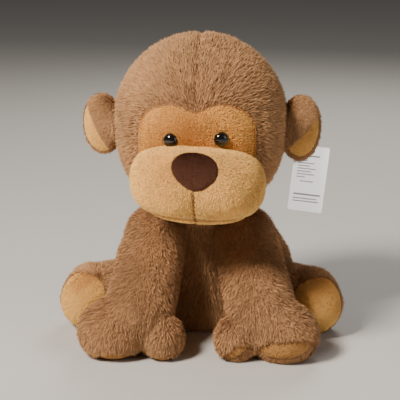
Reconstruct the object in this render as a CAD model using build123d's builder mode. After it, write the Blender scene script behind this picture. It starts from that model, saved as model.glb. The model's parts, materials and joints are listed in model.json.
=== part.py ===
from build123d import *
from math import cos, radians, sin, sqrt
import os

os.makedirs("parts", exist_ok=True)

# A sitting plush monkey. +Z is up, the toy faces -Y and its own left side is +X.
# The origin is the middle of the flat underside of the seat, on the surface it sits on.
# Every soft part is a skin of plush cloth round a firm filling of polyester fibre.

# ---- cloth, seams and clearances ----
skin_wall = 2.5
filling_clearance = 0.1
seam_clearance = 0.4
stitch_radius = 0.8
stitch_clearance = 0.15

# ---- torso: a pear with a flat underside and an upright chest ----
torso_height = 130
torso_half_width = 98
torso_half_depth = 64
chest_front = -28
# height share, width share and depth share of each ring, from the seat up
torso_rings = [
    (0.00, 0.84, 0.86),
    (0.35, 1.00, 1.00),
    (0.70, 0.87, 0.82),
    (1.00, 0.50, 0.50),
]

# ---- neck: a ball that the head sits over ----
neck_radius = 33
neck_y = -6
neck_sink = 12
neck_to_head_gap = 12

# ---- head: round above, longer below ----
head_radius = 84
head_drop = 95
head_y = -20
head_cut_depth = 85.5

# ---- face patch: two lobes over the eyes, running down behind the muzzle ----
patch_half_width = 58
patch_top = 29
patch_dip = 7
patch_bottom = -40
patch_corner = 26
patch_dip_corner = 14

# ---- muzzle, nose and mouth ----
muzzle_half_width = 62
muzzle_half_depth = 56
muzzle_half_height = 38
muzzle_forward = 67
muzzle_below = 49
nose_half_width = 22
nose_top = 17
nose_bottom = 26
nose_corner = 12
nose_pad = 2.6
nose_tilt = 45
nose_lift = 21.5
mouth_start = -9
mouth_sweep = 62

# ---- eyes: a domed head, a stem through the cloth and a locking washer ----
eye_radius = 7
eye_dome = 5.5
eye_x = 24
eye_z = -4.5
stem_radius = 2
stem_length = 11
washer_radius = 8
washer_thickness = 1.5
eye_clearance = 0.2

# ---- ears: a padded cup on a rolled seam ----
ear_half_width = 20
ear_half_height = 28
ear_thickness = 5
ear_cup_radius = 53
ear_cup_back = 8
ear_offset = 18
ear_sweep = 18
ear_z = -5.5
lining_inset = 3
ear_roll_radius = 4.5
ear_roll_height = 38
ear_root_gap = 3

# ---- swing tag on the left ear ----
tag_width = 36
tag_height = 70
tag_thickness = 0.6
tag_corner = 2
tag_hole_radius = 2.5
tag_hole_drop = 5
tag_lean = 6
loop_radius = 8
loop_wire_radius = 0.6
loop_out = 30.5
loop_back = 15.5
loop_below_ear = 21.5

# ---- arms: shoulder ball, forearm, mitt and thumb ----
arm_radius = 28.5
shoulder_x = 46
shoulder_y = -28
shoulder_sink = 24
wrist = (61, -88, 42)
mitt_centre = (85, -98, 25)
mitt_radii = (31, 29, 27)
thumb_centre = (35, -104, 17)
thumb_radii = (14.5, 18, 19)
palm_seam_height = {"left": 24, "right": 13}
palm_seam_tilt = 26
palm_seam_y = -118

# ---- legs: hip ball, thigh and foot, sole to the front ----
leg_radius = 34
leg_axis_height = 33
hip_inset = 6
hip_y = 24
foot_offset = (24, -42)
foot_half_width = 30
foot_half_length = 29
foot_half_height = 38
foot_turn = 18
sole_seam = 10

# ---- tail: a tube lying on the surface behind the seat ----
tail_radius = 10
tail_root_inset = 5
tail_clearance = 1
tail_bend_radius = 30
tail_points = [(0, 0), (0, 40), (-42, 62), (-84, 48)]


def on_side(side, point):
    """A point of the left side, or its mirror on the right."""
    return (side * point[0], point[1], point[2])


def shrunk(radii, inset):
    """Half-lengths with the same depth taken off each."""
    return tuple(radius - inset for radius in radii)


def egg(centre, radii, turn=0):
    """An ellipsoid with its own three half-lengths, turned about the vertical."""
    with BuildPart() as form:
        Sphere(1)
        scale(by=radii)
    return form.part.moved(Location(centre, (0, 0, turn)))


def limb(start, end, radius):
    """A straight limb with a round end at each joint."""
    run = Vector(*end) - Vector(*start)
    with BuildPart(Plane(origin=start, z_dir=run)) as form:
        Cylinder(radius, run.length, align=(Align.CENTER, Align.CENTER, Align.MIN))
        Sphere(radius)
        with Locations((0, 0, run.length)):
            Sphere(radius)
    return form.part


def save(piece, name):
    """Label a finished piece and write it."""
    piece.label = name
    export_step(piece, f"parts/{name}.step")


# ---- places that several pieces share ----
neck_centre = (0, neck_y, torso_height - neck_sink)
head_centre = (0, head_y, torso_height + neck_to_head_gap + head_cut_depth)
head_floor = torso_height + neck_to_head_gap
muzzle_centre = (0, head_y - muzzle_forward, head_centre[2] - muzzle_below)
muzzle_radii = (muzzle_half_width, muzzle_half_depth, muzzle_half_height)
shoulder = (shoulder_x, shoulder_y, torso_height - shoulder_sink)
hip = (torso_half_width - hip_inset, hip_y, leg_axis_height)
foot = (hip[0] + foot_offset[0], hip[1] + foot_offset[1], leg_axis_height)
foot_radii = (foot_half_width, foot_half_length, foot_half_height)
ear_root = (head_radius + 0.5, head_y, head_centre[2] + ear_z)
tail_root = (0, chest_front + 2 * torso_half_depth - tail_root_inset, tail_radius)


# =============================== legs ===============================


def leg_form(side, inset):
    """The leg's outer shape, or a smaller one inside it, flat where it rests."""
    with BuildPart() as form:
        add(limb(on_side(side, hip), on_side(side, foot), leg_radius - inset))
        add(egg(on_side(side, foot), shrunk(foot_radii, inset), side * foot_turn))
        split(bisect_by=Plane.XY.offset(inset), keep=Keep.TOP)
    return form.part


def sole_plane(side):
    """The plane of the seam between the sole and the upper, facing out of the sole."""
    turn = radians(foot_turn)
    facing = Vector(side * sin(turn), -cos(turn), 0)
    return Plane(origin=Vector(*on_side(side, foot)) + facing * sole_seam, z_dir=facing)


for side, name in ((1, "left"), (-1, "right")):
    with BuildPart() as leg_skin:
        add(leg_form(side, 0))
        add(leg_form(side, skin_wall), mode=Mode.SUBTRACT)
        split(bisect_by=sole_plane(side), keep=Keep.BOTTOM)
    save(leg_skin.part, f"leg_skin_{name}")

    with BuildPart() as sole_patch:
        add(leg_form(side, 0))
        add(leg_form(side, skin_wall), mode=Mode.SUBTRACT)
        split(bisect_by=sole_plane(side), keep=Keep.TOP)
    save(sole_patch.part, f"sole_patch_{name}")

    with BuildPart() as leg_filling:
        add(leg_form(side, skin_wall + filling_clearance))
    save(leg_filling.part, f"leg_filling_{name}")

# =============================== arms ===============================


def arm_form(side, inset):
    """The arm's outer shape, or a smaller one inside it, flat where the hand rests."""
    with BuildPart() as form:
        add(limb(on_side(side, shoulder), on_side(side, wrist), arm_radius - inset))
        add(egg(on_side(side, mitt_centre), shrunk(mitt_radii, inset)))
        add(egg(on_side(side, thumb_centre), shrunk(thumb_radii, inset)))
        split(bisect_by=Plane.XY.offset(inset), keep=Keep.TOP)
    return form.part


def palm_plane(name):
    """The palm's seam: high at the finger tips, down to the surface under the wrist."""
    slope = radians(palm_seam_tilt)
    return Plane(
        origin=(0, palm_seam_y, palm_seam_height[name]),
        x_dir=(1, 0, 0),
        z_dir=(0, sin(slope), cos(slope)),
    )


for side, name in ((1, "left"), (-1, "right")):
    with BuildPart() as arm_skin:
        add(arm_form(side, 0))
        add(arm_form(side, skin_wall), mode=Mode.SUBTRACT)
        split(bisect_by=palm_plane(name), keep=Keep.TOP)
    save(arm_skin.part, f"arm_skin_{name}")

    with BuildPart() as palm_patch:
        add(arm_form(side, 0))
        add(arm_form(side, skin_wall), mode=Mode.SUBTRACT)
        split(bisect_by=palm_plane(name), keep=Keep.BOTTOM)
    save(palm_patch.part, f"palm_patch_{name}")

    with BuildPart() as arm_filling:
        add(arm_form(side, skin_wall + filling_clearance))
    save(arm_filling.part, f"arm_filling_{name}")

# =============================== tail ===============================


def tail_form(inset):
    """The tail's outer shape, or a smaller one inside it."""
    with BuildPart() as form:
        with BuildLine(Plane(origin=tail_root)) as route:
            FilletPolyline(*tail_points, radius=tail_bend_radius)
        with BuildSketch(Plane(origin=route.line @ 0, z_dir=route.line % 0)):
            Circle(tail_radius - inset)
        sweep(path=route.line)
        with Locations(route.line @ 0, route.line @ 1):
            Sphere(tail_radius - inset)
    return form.part


with BuildPart() as tail_skin:
    add(tail_form(0))
    add(tail_form(skin_wall), mode=Mode.SUBTRACT)
save(tail_skin.part, "tail_skin")

with BuildPart() as tail_filling:
    add(tail_form(skin_wall + filling_clearance))
save(tail_filling.part, "tail_filling")

# =============================== torso ===============================


def torso_form(inset):
    """The torso's outer shape, or a smaller one inside it, hollowed for its neighbours."""
    gap = seam_clearance + inset
    with BuildPart() as form:
        for height_share, width_share, depth_share in torso_rings:
            level = min(max(height_share * torso_height, inset), torso_height - inset)
            half_depth = depth_share * torso_half_depth
            with BuildSketch(Plane.XY.offset(level)):
                with Locations((0, chest_front + half_depth)):
                    Ellipse(width_share * torso_half_width - inset, half_depth - inset)
        loft()
        for side in (1, -1):
            arm = limb(on_side(side, shoulder), on_side(side, wrist), arm_radius + gap)
            leg = limb(on_side(side, hip), on_side(side, foot), leg_radius + gap)
            add(arm, mode=Mode.SUBTRACT)
            add(leg, mode=Mode.SUBTRACT)
        with Locations(tail_root):
            Sphere(tail_radius + tail_clearance + inset, mode=Mode.SUBTRACT)
    return form.part


with BuildPart() as torso_skin:
    add(torso_form(0))
    add(torso_form(skin_wall), mode=Mode.SUBTRACT)
save(torso_skin.part, "torso_skin")

with BuildPart() as torso_filling:
    add(torso_form(skin_wall + filling_clearance))
save(torso_filling.part, "torso_filling")

# =============================== neck ===============================


def neck_form(inset):
    """The neck ball above the torso, or a smaller one inside it."""
    with BuildPart() as form:
        with Locations(neck_centre):
            Sphere(neck_radius - inset)
        split(bisect_by=Plane.XY.offset(torso_height + seam_clearance + inset), keep=Keep.TOP)
    return form.part


with BuildPart() as neck_skin:
    add(neck_form(0))
    add(neck_form(skin_wall), mode=Mode.SUBTRACT)
save(neck_skin.part, "neck_skin")

with BuildPart() as neck_filling:
    add(neck_form(skin_wall + filling_clearance))
save(neck_filling.part, "neck_filling")

# =============================== head ===============================


def head_form(inset):
    """The head's outer shape, or a smaller one inside it, hollowed for the neck and ears."""
    with BuildPart() as form:
        with Locations(head_centre):
            Sphere(head_radius - inset)
        split(bisect_by=Plane.XY.offset(head_centre[2]), keep=Keep.TOP)
        lower = egg(head_centre, shrunk((head_radius, head_radius, head_drop), inset))
        add(split(lower, bisect_by=Plane.XY.offset(head_centre[2]), keep=Keep.BOTTOM, mode=Mode.PRIVATE))
        split(bisect_by=Plane.XY.offset(head_floor + inset), keep=Keep.TOP)
        with Locations(neck_centre):
            Sphere(neck_radius + seam_clearance + inset, mode=Mode.SUBTRACT)
    return form.part


def ear_grooves():
    """The two upright grooves that the rolled seams of the ears turn in."""
    with BuildPart() as form:
        with Locations(on_side(1, ear_root), on_side(-1, ear_root)):
            Cylinder(ear_roll_radius + seam_clearance, ear_roll_height + 2 * seam_clearance)
    return form.part


def patch_prism():
    """The face patch's outline as a prism, from the middle of the head out past the face."""
    with BuildPart() as form:
        with BuildSketch(Plane(origin=head_centre, x_dir=(1, 0, 0), z_dir=(0, -1, 0))):
            with BuildLine():
                FilletPolyline(
                    (-patch_half_width, patch_bottom),
                    (-patch_half_width, patch_top),
                    (0, patch_top - patch_dip),
                    (patch_half_width, patch_top),
                    (patch_half_width, patch_bottom),
                    radius=(patch_corner, patch_dip_corner, patch_corner),
                )
                Line((patch_half_width, patch_bottom), (-patch_half_width, patch_bottom))
            make_face()
        extrude(amount=head_radius + 10)
    return form.part


def eye_plane(side):
    """The plane that an eye sits on: it touches the head, with its normal outward."""
    x, z = side * eye_x, eye_z
    y = -sqrt(head_radius**2 - x**2 - z**2)
    outward = Vector(x, y, z)
    return Plane(origin=Vector(*head_centre) + outward, z_dir=outward)


with BuildPart() as head_skin:
    add(head_form(0))
    add(head_form(skin_wall), mode=Mode.SUBTRACT)
    add(patch_prism(), mode=Mode.SUBTRACT)
    add(ear_grooves(), mode=Mode.SUBTRACT)
save(head_skin.part, "head_skin")

with BuildPart() as face_patch:
    add(head_form(0))
    add(head_form(skin_wall), mode=Mode.SUBTRACT)
    add(patch_prism(), mode=Mode.INTERSECT)
    for side in (1, -1):
        with Locations(eye_plane(side)):
            Cylinder(stem_radius + eye_clearance, 4 * skin_wall, mode=Mode.SUBTRACT)
save(face_patch.part, "face_patch")

washer_depth = skin_wall + 0.5
with BuildPart() as head_filling:
    add(head_form(skin_wall + filling_clearance))
    add(ear_grooves(), mode=Mode.SUBTRACT)
    for side in (1, -1):
        with Locations(eye_plane(side)):
            Cylinder(
                washer_radius + eye_clearance,
                washer_depth + washer_thickness + eye_clearance,
                align=(Align.CENTER, Align.CENTER, Align.MAX),
                mode=Mode.SUBTRACT,
            )
            Cylinder(
                stem_radius + eye_clearance,
                stem_length + eye_clearance,
                align=(Align.CENTER, Align.CENTER, Align.MAX),
                mode=Mode.SUBTRACT,
            )
save(head_filling.part, "head_filling")

# =============================== eyes ===============================
for side, name in ((1, "left"), (-1, "right")):
    with BuildPart() as dome:
        Sphere(eye_radius)
        scale(by=(1, 1, eye_dome / eye_radius))
        split(bisect_by=Plane.XY, keep=Keep.TOP)
        Cylinder(stem_radius, stem_length, align=(Align.CENTER, Align.CENTER, Align.MAX))
    with BuildPart() as eye:
        add(dome.part.moved(eye_plane(side).offset(filling_clearance).location))
    save(eye.part, f"eye_{name}")

    with BuildPart(eye_plane(side).offset(-washer_depth)) as eye_washer:
        Cylinder(washer_radius, washer_thickness, align=(Align.CENTER, Align.CENTER, Align.MAX))
        Cylinder(stem_radius + eye_clearance, 4 * washer_thickness, mode=Mode.SUBTRACT)
    save(eye_washer.part, f"eye_washer_{name}")

# ========================= muzzle, nose and mouth =========================


def muzzle_form(inset):
    """The muzzle's outer shape in front of the head, or a smaller or larger one."""
    with BuildPart() as form:
        add(egg(muzzle_centre, shrunk(muzzle_radii, inset)))
    return form.part


def head_front(clearance):
    """The whole head without its hollows, to cut what is sewn against it."""
    with BuildPart() as form:
        radii = shrunk((head_radius, head_radius, head_drop), -clearance)
        add(egg(head_centre, radii))
    return form.part


with BuildPart() as muzzle_skin:
    add(muzzle_form(0))
    add(muzzle_form(skin_wall), mode=Mode.SUBTRACT)
    add(head_front(filling_clearance), mode=Mode.SUBTRACT)
save(muzzle_skin.part, "muzzle_skin")

with BuildPart() as muzzle_filling:
    add(muzzle_form(skin_wall + filling_clearance))
    add(head_front(filling_clearance), mode=Mode.SUBTRACT)
save(muzzle_filling.part, "muzzle_filling")

# the nose is a velvet pad, flat-topped and pointed below, on the upper front of the muzzle
nose_slope = radians(nose_tilt)
nose_depth = muzzle_half_depth * sqrt(1 - (nose_lift / muzzle_half_height) ** 2)
nose_centre = Vector(*muzzle_centre) + Vector(0, -nose_depth, nose_lift)
nose_plane = Plane(
    origin=nose_centre,
    x_dir=(1, 0, 0),
    z_dir=(0, -cos(nose_slope), sin(nose_slope)),
)
with BuildPart() as nose_patch:
    add(muzzle_form(-nose_pad - filling_clearance))
    add(muzzle_form(-filling_clearance), mode=Mode.SUBTRACT)
    with BuildSketch(nose_plane):
        with BuildLine():
            FilletPolyline(
                (-nose_half_width, nose_top),
                (nose_half_width, nose_top),
                (nose_half_width, -2),
                (0, -nose_bottom),
                (-nose_half_width, -2),
                radius=nose_corner,
                close=True,
            )
        make_face()
    extrude(amount=nose_corner, both=True, mode=Mode.INTERSECT)
save(nose_patch.part, "nose_patch")

stitch_offset = stitch_radius + stitch_clearance
with BuildPart() as mouth_stitch:
    with BuildLine(Plane(origin=muzzle_centre, x_dir=(0, -1, 0), z_dir=(-1, 0, 0))) as seam:
        EllipticalCenterArc(
            (0, 0),
            muzzle_half_depth + stitch_offset,
            muzzle_half_height + stitch_offset,
            start_angle=mouth_start - mouth_sweep,
            arc_size=mouth_sweep,
        )
    with BuildSketch(Plane(origin=seam.line @ 0, z_dir=seam.line % 0)):
        Circle(stitch_radius)
    sweep(path=seam.line)
save(mouth_stitch.part, "mouth_stitch")

# =============================== ears ===============================


def ear_cup(inset, outer, thickness):
    """A layer of the left ear: an oval cut from a ball's wall, hollow side to the front."""
    turn = radians(ear_sweep)
    place = Plane(origin=ear_root, x_dir=(cos(turn), sin(turn), 0), z_dir=(0, 0, 1))
    with BuildPart() as form:
        with BuildSketch(Plane.XZ):
            with Locations((ear_offset, 0)):
                Ellipse(ear_half_width - inset, ear_half_height - inset)
        extrude(amount=ear_cup_radius / 2, both=True)
        with Locations((ear_offset, ear_cup_back - ear_cup_radius, 0)):
            Sphere(outer, mode=Mode.INTERSECT)
            Sphere(outer - thickness, mode=Mode.SUBTRACT)
    return form.part.moved(place.location)


def tag_loop(wire_radius):
    """The nylon loop through the rim of the left ear and the hole in the tag."""
    with BuildPart(Plane(origin=loop_centre, z_dir=(1, 0, 0))) as form:
        Torus(loop_radius, wire_radius)
    return form.part


loop_centre = (
    ear_root[0] + loop_out,
    ear_root[1] + loop_back,
    ear_root[2] - loop_below_ear,
)
lining_radius = ear_cup_radius - ear_thickness - filling_clearance

for side, name in ((1, "left"), (-1, "right")):
    with BuildPart() as ear_back:
        add(ear_cup(0, ear_cup_radius, ear_thickness))
        with Locations(head_centre):
            Sphere(head_radius + ear_root_gap, mode=Mode.SUBTRACT)
        with Locations(ear_root):
            Cylinder(ear_roll_radius, ear_roll_height)
        if side > 0:
            add(tag_loop(loop_wire_radius + stitch_clearance), mode=Mode.SUBTRACT)
        else:
            mirror(about=Plane.YZ, mode=Mode.REPLACE)
    save(ear_back.part, f"ear_back_{name}")

    with BuildPart() as ear_lining:
        add(ear_cup(lining_inset, lining_radius, skin_wall))
        with Locations(head_centre):
            Sphere(head_radius + ear_root_gap, mode=Mode.SUBTRACT)
        with Locations(ear_root):
            Cylinder(ear_roll_radius + filling_clearance, ear_roll_height + 1, mode=Mode.SUBTRACT)
        if side < 0:
            mirror(about=Plane.YZ, mode=Mode.REPLACE)
    save(ear_lining.part, f"ear_lining_{name}")

# ============================ swing tag ============================
save(tag_loop(loop_wire_radius), "tag_loop")

tag_pivot = (loop_centre[0], loop_centre[1], loop_centre[2] - loop_radius)
tag_slope = radians(tag_lean)
tag_face = Plane(
    origin=tag_pivot,
    x_dir=(cos(tag_slope), 0, -sin(tag_slope)),
    z_dir=(0, -1, 0),
)
with BuildPart() as tag_card:
    with BuildSketch(tag_face):
        with Locations((0, tag_hole_drop - tag_height / 2)):
            RectangleRounded(tag_width, tag_height, tag_corner)
        Circle(tag_hole_radius, mode=Mode.SUBTRACT)
    extrude(amount=tag_thickness / 2, both=True)
save(tag_card.part, "tag_card")
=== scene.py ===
"""A sitting plush monkey: long brown pile, tan face and muzzle, cupped ears, swing tag."""
import json
import math

import bmesh
import bpy
from mathutils import Matrix, Vector
from mathutils.bvhtree import BVHTree


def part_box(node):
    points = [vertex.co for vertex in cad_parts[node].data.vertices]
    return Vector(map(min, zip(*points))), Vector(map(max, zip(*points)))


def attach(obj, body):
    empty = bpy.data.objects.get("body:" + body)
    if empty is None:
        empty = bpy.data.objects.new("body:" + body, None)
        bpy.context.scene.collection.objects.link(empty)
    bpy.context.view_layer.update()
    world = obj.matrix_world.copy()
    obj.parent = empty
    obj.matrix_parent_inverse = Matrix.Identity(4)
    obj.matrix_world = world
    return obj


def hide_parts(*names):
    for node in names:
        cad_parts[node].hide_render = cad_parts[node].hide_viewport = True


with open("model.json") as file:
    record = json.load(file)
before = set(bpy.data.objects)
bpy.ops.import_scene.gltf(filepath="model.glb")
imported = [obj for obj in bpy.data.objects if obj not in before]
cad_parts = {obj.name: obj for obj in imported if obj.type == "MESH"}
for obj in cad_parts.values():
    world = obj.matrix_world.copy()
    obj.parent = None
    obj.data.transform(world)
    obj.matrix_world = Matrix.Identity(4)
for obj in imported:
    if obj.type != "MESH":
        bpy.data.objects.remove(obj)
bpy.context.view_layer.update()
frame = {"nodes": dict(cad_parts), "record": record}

# ---------------------------------------------------------------- head
# The head is a ball of brown plush, fuller at the jaw, sewn from panels that meet at the
# crown and stuffed firm. The pile is brushed away from the face.


def pivot(joint):
    """A point on a joint's axis."""
    for one in frame["record"]["behaviour"]["joints"]:
        if one["name"] == joint:
            return Vector(one["pos_m"])
    raise ValueError(joint)


def add_ball(shell, centre, radii, turn=0.0):
    """One stuffed lump, with its own half-length on each axis, turned about the vertical."""
    place = Matrix.Translation(centre) @ Matrix.Rotation(turn, 4, "Z") @ Matrix.Diagonal((*radii, 1))
    bmesh.ops.create_icosphere(shell, subdivisions=4, radius=1.0, matrix=place)


def add_limb(shell, start, end, radius_start, radius_end, lumps=12):
    """A stuffed tube between two joints, as a close row of lumps."""
    for i in range(lumps + 1):
        share = i / lumps
        radius = radius_start + (radius_end - radius_start) * share
        add_ball(shell, start.lerp(end, share), (radius, radius, radius))


def set_down(name, shell, smooth=True):
    """Turn a finished shell into an object of its own."""
    mesh = bpy.data.meshes.new(name)
    shell.to_mesh(mesh)
    shell.free()
    if smooth:
        mesh.shade_smooth()
    piece = bpy.data.objects.new(name, mesh)
    bpy.context.collection.objects.link(piece)
    return piece


def sewn_skin(name, shell, voxel=0.0035, easing=10):
    """Join overlapping lumps into one closed skin, with the joins eased as stuffing does."""
    piece = set_down(name + "_rough", shell, smooth=False)
    join = piece.modifiers.new("join", "REMESH")
    join.mode = "VOXEL"
    join.voxel_size = voxel
    ease = piece.modifiers.new("ease", "SMOOTH")
    ease.factor = 0.5
    ease.iterations = easing
    graph = bpy.context.evaluated_depsgraph_get()
    skin = bpy.data.meshes.new_from_object(piece.evaluated_get(graph))
    bpy.data.objects.remove(piece)
    skin.name = name
    skin.shade_smooth()
    finished = bpy.data.objects.new(name, skin)
    bpy.context.collection.objects.link(finished)
    return finished


def reshape(piece, move):
    """Move every point of a piece to where move(point) puts it."""
    for vertex in piece.data.vertices:
        vertex.co = move(vertex.co.copy())
    piece.data.update()


def brush(piece, comb, pile):
    """Write on a skin which way its pile is brushed, and how long it is, as a share."""
    skin = piece.data
    ways = []
    shares = []
    for vertex in skin.vertices:
        normal = vertex.normal
        flow = comb(vertex.co)
        flow = flow - normal * flow.dot(normal)
        ways.extend(flow.normalized())
        shares.append(pile(vertex.co, normal))
    skin.attributes.new("comb", "FLOAT_VECTOR", "POINT").data.foreach_set("vector", ways)
    skin.attributes.new("pile", "FLOAT", "POINT").data.foreach_set("value", shares)


def fibre_mesh():
    """One tuft of fibre: rooted at the origin, growing along +Z, its tip bent to -Y."""
    points = [(0, 0, 0), (0.5, 0.04, 0.42), (-0.5, 0.04, 0.42), (0, -0.12, 1)]
    faces = [(0, 1, 2), (2, 1, 3)]
    tuft = bpy.data.meshes.new("tuft")
    tuft.from_pydata(points, [], faces)
    along = tuft.attributes.new("along", "FLOAT", "POINT")
    side = tuft.attributes.new("side", "FLOAT", "POINT")
    for i, point in enumerate(points):
        along.data[i].value = point[2]
        side.data[i].value = (0, 1, -1, 0)[i]
    return tuft


def plug(tree, kind, settings=None, **inputs):
    """Add a node, with its settings, and feed each named input a value or another socket."""
    node = tree.nodes.new(kind)
    for key, value in (settings or {}).items():
        setattr(node, key, value)
    for key, value in inputs.items():
        wanted = key.replace("_", " ")
        live = [s for s in node.inputs if s.enabled and s.name == wanted]
        socket = live[0] if live else node.inputs[int(key[1:])]
        if isinstance(value, bpy.types.NodeSocket):
            tree.links.new(value, socket)
        else:
            socket.default_value = value
    return node


def out(node):
    """The first socket that a node gives out as it is set."""
    return next(s for s in node.outputs if s.enabled)


def pile_tree():
    """Geometry nodes that grow a pile on a brushed skin, one tuft at a time."""
    tree = bpy.data.node_groups.new("grow pile", "GeometryNodeTree")
    face = tree.interface
    face.new_socket("Skin", in_out="INPUT", socket_type="NodeSocketGeometry")
    for label, kind in (
        ("Tuft", "NodeSocketObject"),
        ("Cloth", "NodeSocketMaterial"),
        ("Tufts per square metre", "NodeSocketFloat"),
        ("Length", "NodeSocketFloat"),
        ("Width", "NodeSocketFloat"),
        ("Lean", "NodeSocketFloat"),
        ("Ruffle", "NodeSocketFloat"),
        ("Floor", "NodeSocketFloat"),
        ("Seed", "NodeSocketInt"),
    ):
        face.new_socket(label, in_out="INPUT", socket_type=kind)
    face.new_socket("Pile", in_out="OUTPUT", socket_type="NodeSocketGeometry")
    given = tree.nodes.new("NodeGroupInput").outputs
    vector = "ShaderNodeVectorMath"
    number = "ShaderNodeMath"

    spread = plug(
        tree, "GeometryNodeDistributePointsOnFaces", Mesh=given["Skin"],
        Density=given["Tufts per square metre"], Seed=given["Seed"],
    )
    comb = out(plug(tree, "GeometryNodeInputNamedAttribute", {"data_type": "FLOAT_VECTOR"}, Name="comb"))
    pile = out(plug(tree, "GeometryNodeInputNamedAttribute", {"data_type": "FLOAT"}, Name="pile"))
    place = out(tree.nodes.new("GeometryNodeInputPosition"))

    # tufts lean with the brushing, in locks that share a ruffle, each a little its own way
    lock_grain, patch_grain = 130.0, 28.0
    stray, twisted = 0.27, 0.7
    locks = plug(tree, "ShaderNodeTexNoise", Vector=place, Scale=lock_grain, Detail=2.0)
    sway = plug(
        tree, vector, {"operation": "SUBTRACT"}, _0=locks.outputs["Color"], _1=(0.5, 0.5, 0.5)
    )
    sway = plug(tree, vector, {"operation": "SCALE"}, Vector=out(sway), Scale=given["Ruffle"])
    own = plug(
        tree, "FunctionNodeRandomValue", {"data_type": "FLOAT_VECTOR"}, Seed=given["Seed"],
        Min=(-stray, -stray, -stray), Max=(stray, stray, stray),
    )
    lean = plug(tree, vector, {"operation": "SCALE"}, Vector=comb, Scale=given["Lean"])
    grow = plug(
        tree, vector, {"operation": "ADD"}, _0=spread.outputs["Normal"], _1=out(lean)
    )
    grow = plug(tree, vector, {"operation": "ADD"}, _0=out(grow), _1=out(sway))
    grow = plug(tree, vector, {"operation": "ADD"}, _0=out(grow), _1=out(own))
    turn = plug(
        tree, "FunctionNodeAxesToRotation", {"primary_axis": "Z", "secondary_axis": "Y"},
        Primary_Axis=out(grow), Secondary_Axis=spread.outputs["Normal"],
    )
    twist = plug(
        tree, "FunctionNodeRandomValue", {"data_type": "FLOAT"}, Min=-twisted, Max=twisted, Seed=11
    )
    twist = plug(tree, "FunctionNodeAxisAngleToRotation", Axis=(0.0, 0.0, 1.0), Angle=out(twist))
    turn = plug(
        tree, "FunctionNodeRotateRotation", {"rotation_space": "LOCAL"},
        Rotation=out(turn), Rotate_By=out(twist),
    )

    uneven = plug(tree, "FunctionNodeRandomValue", {"data_type": "FLOAT"}, Min=0.62, Max=1.12, Seed=5)
    long = plug(tree, number, {"operation": "MULTIPLY"}, _0=given["Length"], _1=out(uneven))
    long = plug(tree, number, {"operation": "MULTIPLY"}, _0=out(long), _1=pile)
    size = plug(tree, "ShaderNodeCombineXYZ", X=given["Width"], Y=out(long), Z=out(long))
    kept = plug(tree, "FunctionNodeCompare", {"operation": "GREATER_THAN"}, A=pile, B=0.05)
    tuft = plug(tree, "GeometryNodeObjectInfo", Object=given["Tuft"])

    # each tuft's shade: broad patches, narrower streaks and a little of its own
    patch = plug(tree, "ShaderNodeTexNoise", Vector=place, Scale=patch_grain, Detail=2.0)
    alone = plug(tree, "FunctionNodeRandomValue", {"data_type": "FLOAT"}, Min=-0.5, Max=0.5, Seed=29)
    shade = plug(tree, number, {"operation": "MULTIPLY_ADD"}, _0=patch.outputs[0], _1=1.1, _2=-0.05)
    streak = plug(tree, number, {"operation": "MULTIPLY_ADD"}, _0=locks.outputs[0], _1=0.5, _2=-0.25)
    shade = plug(tree, number, {"operation": "ADD"}, _0=out(shade), _1=out(streak))
    shade = plug(tree, number, {"operation": "MULTIPLY_ADD"}, _0=out(alone), _1=0.75, _2=out(shade))
    shade = plug(tree, "ShaderNodeClamp", Value=out(shade), Min=0.02, Max=0.98)
    spread_pile = plug(
        tree, "GeometryNodeStoreNamedAttribute", {"data_type": "FLOAT", "domain": "POINT"},
        Geometry=spread.outputs["Points"], Name="shade", Value=out(shade),
    )

    planted = plug(
        tree, "GeometryNodeInstanceOnPoints", Points=out(spread_pile), Selection=out(kept),
        Instance=tuft.outputs["Geometry"], Rotation=out(turn), Scale=out(size),
    )
    real = plug(tree, "GeometryNodeRealizeInstances", Geometry=out(planted))

    # tufts that would pass through the surface the toy sits on lie flat on it instead
    point = plug(tree, "ShaderNodeSeparateXYZ", Vector=place)
    level = plug(
        tree, number, {"operation": "MAXIMUM"}, _0=point.outputs["Z"], _1=given["Floor"]
    )
    lifted = plug(
        tree, "ShaderNodeCombineXYZ", X=point.outputs["X"], Y=point.outputs["Y"], Z=out(level)
    )
    laid = plug(tree, "GeometryNodeSetPosition", Geometry=out(real), Position=out(lifted))

    # the map holds the tuft's shade across and the way from root to tip upward
    shade = out(plug(tree, "GeometryNodeInputNamedAttribute", {"data_type": "FLOAT"}, Name="shade"))
    side = out(plug(tree, "GeometryNodeInputNamedAttribute", {"data_type": "FLOAT"}, Name="side"))
    along = out(plug(tree, "GeometryNodeInputNamedAttribute", {"data_type": "FLOAT"}, Name="along"))
    across = plug(tree, number, {"operation": "MULTIPLY_ADD"}, _0=side, _1=0.008, _2=shade)
    upward = plug(tree, number, {"operation": "MULTIPLY_ADD"}, _0=along, _1=0.96, _2=0.02)
    pair = plug(tree, "ShaderNodeCombineXYZ", X=out(across), Y=out(upward))
    mapped = plug(
        tree, "GeometryNodeStoreNamedAttribute", {"data_type": "FLOAT2", "domain": "CORNER"},
        Geometry=out(laid), Name="OFBake", Value=out(pair),
    )
    clothed = plug(tree, "GeometryNodeSetMaterial", Geometry=out(mapped), Material=given["Cloth"])
    result = tree.nodes.new("NodeGroupOutput")
    tree.links.new(out(clothed), result.inputs["Pile"])
    return tree


grow_pile = pile_tree()
tuft = bpy.data.objects.new("tuft", fibre_mesh())
bpy.context.collection.objects.link(tuft)


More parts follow.
